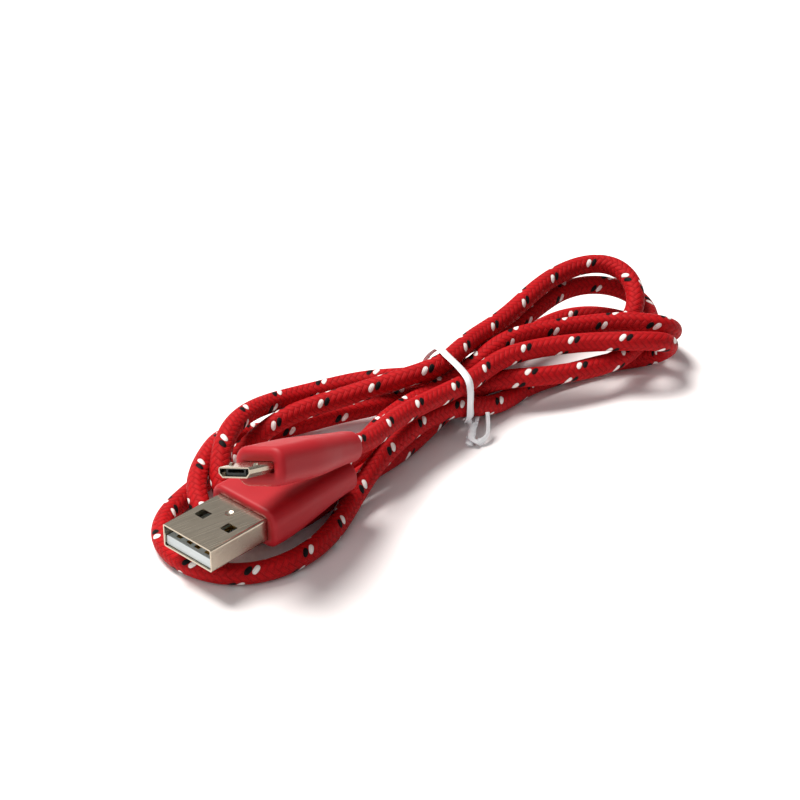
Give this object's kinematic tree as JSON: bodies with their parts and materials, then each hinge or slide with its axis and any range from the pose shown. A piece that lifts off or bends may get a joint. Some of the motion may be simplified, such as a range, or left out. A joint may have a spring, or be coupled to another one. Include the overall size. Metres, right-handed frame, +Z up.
{
  "type": "charging cable",
  "caption": "Braided charging cable wound into a tied hank, with a flat rectangular power plug and a small phone plug with sprung latches.",
  "frame": {"origin": "on the ground under the middle of the hank's bounding box", "axes": "+X along the hank, away from the plugs; +Z up"},
  "size_m": [0.1248, 0.0467, 0.026],
  "materials": {
    "nickel": "satin nickel plate",
    "gold": "gold plate",
    "white_plastic": "satin",
    "dark_plastic": "matte",
    "natural_pe": "semi-matte",
    "red_pvc": "soft matte",
    "red_braid": "woven",
    "grey_pvc": "satin",
    "red_insulation": "satin",
    "white_insulation": "satin",
    "green_insulation": "satin",
    "black_insulation": "satin",
    "white_pvc": "semi-gloss",
    "steel": "drawn"
  },
  "bodies": {
    "cable": {"usb_a_shell": "nickel", "usb_a_insulator": "white_plastic", "usb_a_contact_1": "gold", "usb_a_contact_2": "gold", "usb_a_contact_3": "gold", "usb_a_contact_4": "gold", "usb_a_inner_mould": "natural_pe", "usb_a_crimp": "nickel", "usb_a_boot": "red_pvc", "micro_b_shell": "nickel", "micro_b_insulator": "dark_plastic", "micro_b_contact_1": "gold", "micro_b_contact_2": "gold", "micro_b_contact_3": "gold", "micro_b_contact_4": "gold", "micro_b_contact_5": "gold", "micro_b_inner_mould": "natural_pe", "micro_b_crimp": "nickel", "micro_b_boot": "red_pvc", "cord_sleeve": "red_braid", "cord_jacket": "grey_pvc", "wire_red": "red_insulation", "wire_white": "white_insulation", "wire_green": "green_insulation", "wire_black": "black_insulation", "tie_strip": "white_pvc", "tie_wire": "steel"},
    "latch_left": {"micro_b_latch_left": "nickel"},
    "latch_right": {"micro_b_latch_right": "nickel"}
  },
  "joints": [
    {"name": "latch_left_press", "type": "hinge", "parent": "cable", "child": "latch_left", "pos_m": [-0.04806, -0.01509, 0.02086], "axis": [0.3583, -0.8803, 0.3108], "range_deg": [0, 3.5], "stiffness_Nm_per_rad": 0.02},
    {"name": "latch_right_press", "type": "hinge", "parent": "cable", "child": "latch_right", "pos_m": [-0.04616, -0.01976, 0.02251], "axis": [0.3583, -0.8803, 0.3108], "range_deg": [0, 3.5], "stiffness_Nm_per_rad": 0.02}
  ]
}
